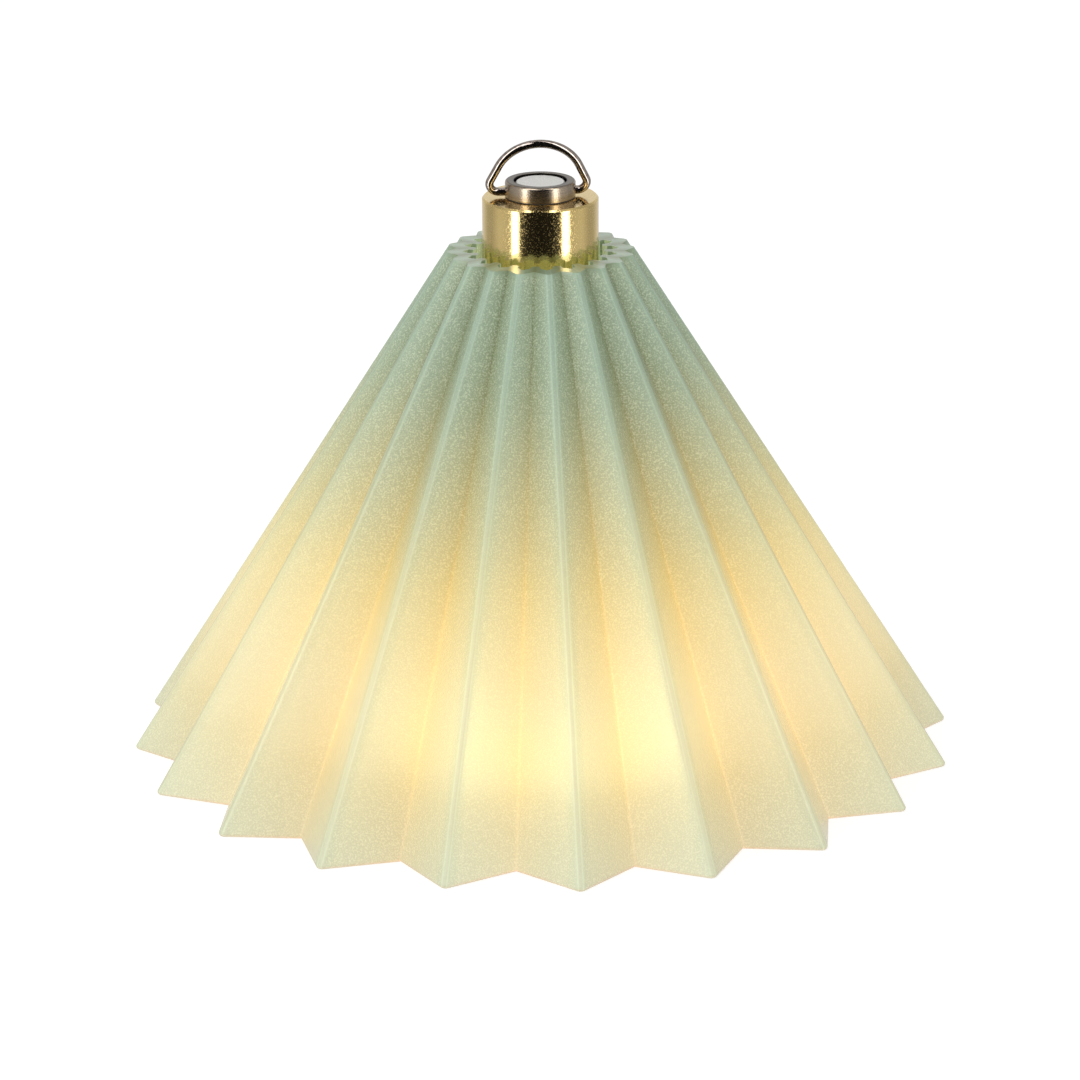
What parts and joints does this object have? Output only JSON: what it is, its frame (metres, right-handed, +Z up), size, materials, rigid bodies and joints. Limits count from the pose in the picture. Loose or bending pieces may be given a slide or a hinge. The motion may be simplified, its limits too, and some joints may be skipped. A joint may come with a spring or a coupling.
{
  "type": "pleated table lamp",
  "caption": "Portable lamp: a pleated cone shade of frosted plastic over a brass battery lantern with a push button and a swinging wire ring on top.",
  "frame": {"origin": "on the table, on the lamp's axis, in the plane of the shade's rim and the globe's foot", "axes": "+Z up along the lamp's axis; the ring swings about X; one ridge of the shade points to -Y"},
  "size_m": [0.139, 0.139, 0.1056],
  "materials": {
    "frosted_shade": "moulded translucent plastic, fine grain",
    "polished_brass": "turned and polished",
    "satin_steel": "turned, satin",
    "polished_steel": "polished wire",
    "grey_button": "bead blasted",
    "clear_silicone": "moulded, matt",
    "black_rubber": "moulded, matt",
    "black_plastic": "moulded",
    "circuit_board": "solder mask",
    "spring_steel": "drawn",
    "cell_wrap": "shrink film",
    "bright_nickel": "plated",
    "turned_aluminium": "turned",
    "lead_insulation": "extruded",
    "white_board": "white solder mask",
    "light_chip": "phosphor",
    "opal_globe": "frosted"
  },
  "bodies": {
    "lantern": {"shade_collar": "clear_silicone", "collar_clip": "spring_steel", "tail_cap": "polished_brass", "bezel": "satin_steel", "bezel_seal": "black_rubber", "switch_body": "black_plastic", "switch_carrier": "black_plastic", "switch_board": "circuit_board", "retaining_ring": "polished_brass", "cell_spring": "spring_steel", "battery_tube": "polished_brass", "tube_seal": "black_rubber", "battery_cell": "cell_wrap", "cell_terminal": "bright_nickel", "positive_contact": "polished_brass", "driver_board": "circuit_board", "driver_parts": "black_plastic", "head": "turned_aluminium", "head_seal": "black_rubber", "led_leads": "lead_insulation", "thermal_pad": "clear_silicone", "led_board": "white_board", "led_emitters": "light_chip", "led_screws": "spring_steel", "globe_seal": "black_rubber", "globe": "opal_globe"},
    "shade": {"shade": "frosted_shade"},
    "ring": {"hanging_ring": "polished_steel"},
    "button": {"button": "grey_button", "button_oring": "black_rubber", "switch_plunger": "black_plastic"}
  },
  "joints": [
    {"name": "shade_lift", "type": "slide", "parent": "lantern", "child": "shade", "axis": [0, 0, 1], "range_m": [0, 0.12]},
    {"name": "ring_swing", "type": "hinge", "parent": "lantern", "child": "ring", "pos_m": [0, 0, 0.09615], "axis": [1, 0, 0], "range_deg": [-110, 70]},
    {"name": "button_press", "type": "slide", "parent": "lantern", "child": "button", "axis": [0, 0, -1], "range_m": [0, 0.0006], "stiffness_N_per_m": 3000}
  ]
}
